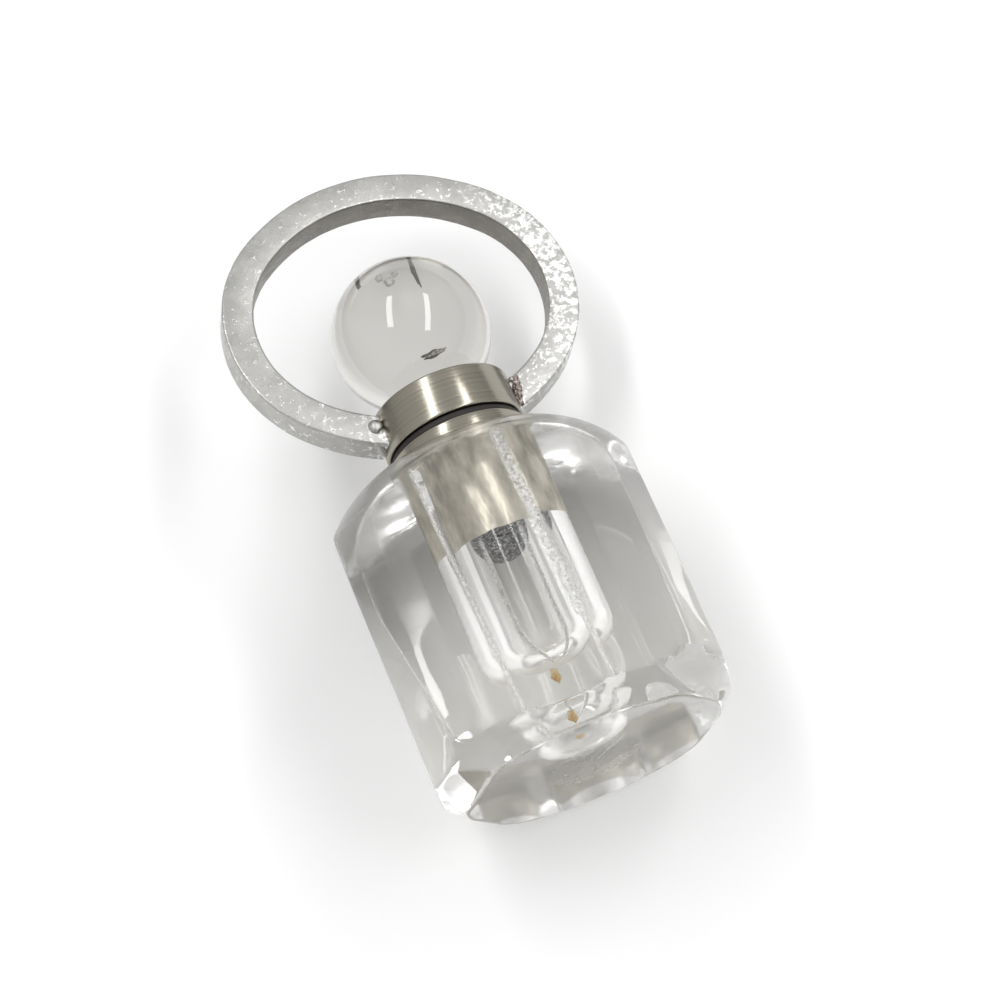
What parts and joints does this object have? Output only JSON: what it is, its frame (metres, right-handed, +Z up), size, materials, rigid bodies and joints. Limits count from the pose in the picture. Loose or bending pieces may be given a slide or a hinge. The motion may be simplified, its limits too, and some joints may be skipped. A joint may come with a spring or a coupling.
{
  "type": "crystal bottle pendant",
  "caption": "Small faceted crystal scent bottle worn as a pendant, with a screw stopper that carries a crystal ball inside an oval hanging ring.",
  "frame": {"origin": "on the table under the middle of the whole pendant, which lies on one main facet of the bottle", "axes": "+Y along the bottle's axis towards the ring, +Z up from the table"},
  "size_m": [0.027, 0.0498, 0.0218],
  "materials": {
    "crystal": "polished clear quartz with a ground bore",
    "neck_metal": "turned nickel plate",
    "gasket_rubber": "matte black",
    "plated_metal": "bright plate with fine scratches",
    "ball_crystal": "polished clear quartz"
  },
  "bodies": {
    "root": {"bottle": "crystal", "neck": "neck_metal"},
    "seal": {"gasket": "gasket_rubber"},
    "stopper": {"ring_cap": "plated_metal", "ball": "ball_crystal"}
  },
  "joints": [
    {"name": "stopper_turn", "type": "hinge", "parent": "root", "child": "seal", "pos_m": [0, 0.0016, 0.0109], "axis": [0, 1, 0], "range_deg": [0, 5040]},
    {"name": "stopper_lift", "type": "slide", "parent": "seal", "child": "stopper", "axis": [0, 1, 0], "range_m": [0, 0.0112]}
  ],
  "couplings": [
    {"joint": "stopper_lift", "follows": "stopper_turn", "m_per_rad": 0.0001273}
  ]
}
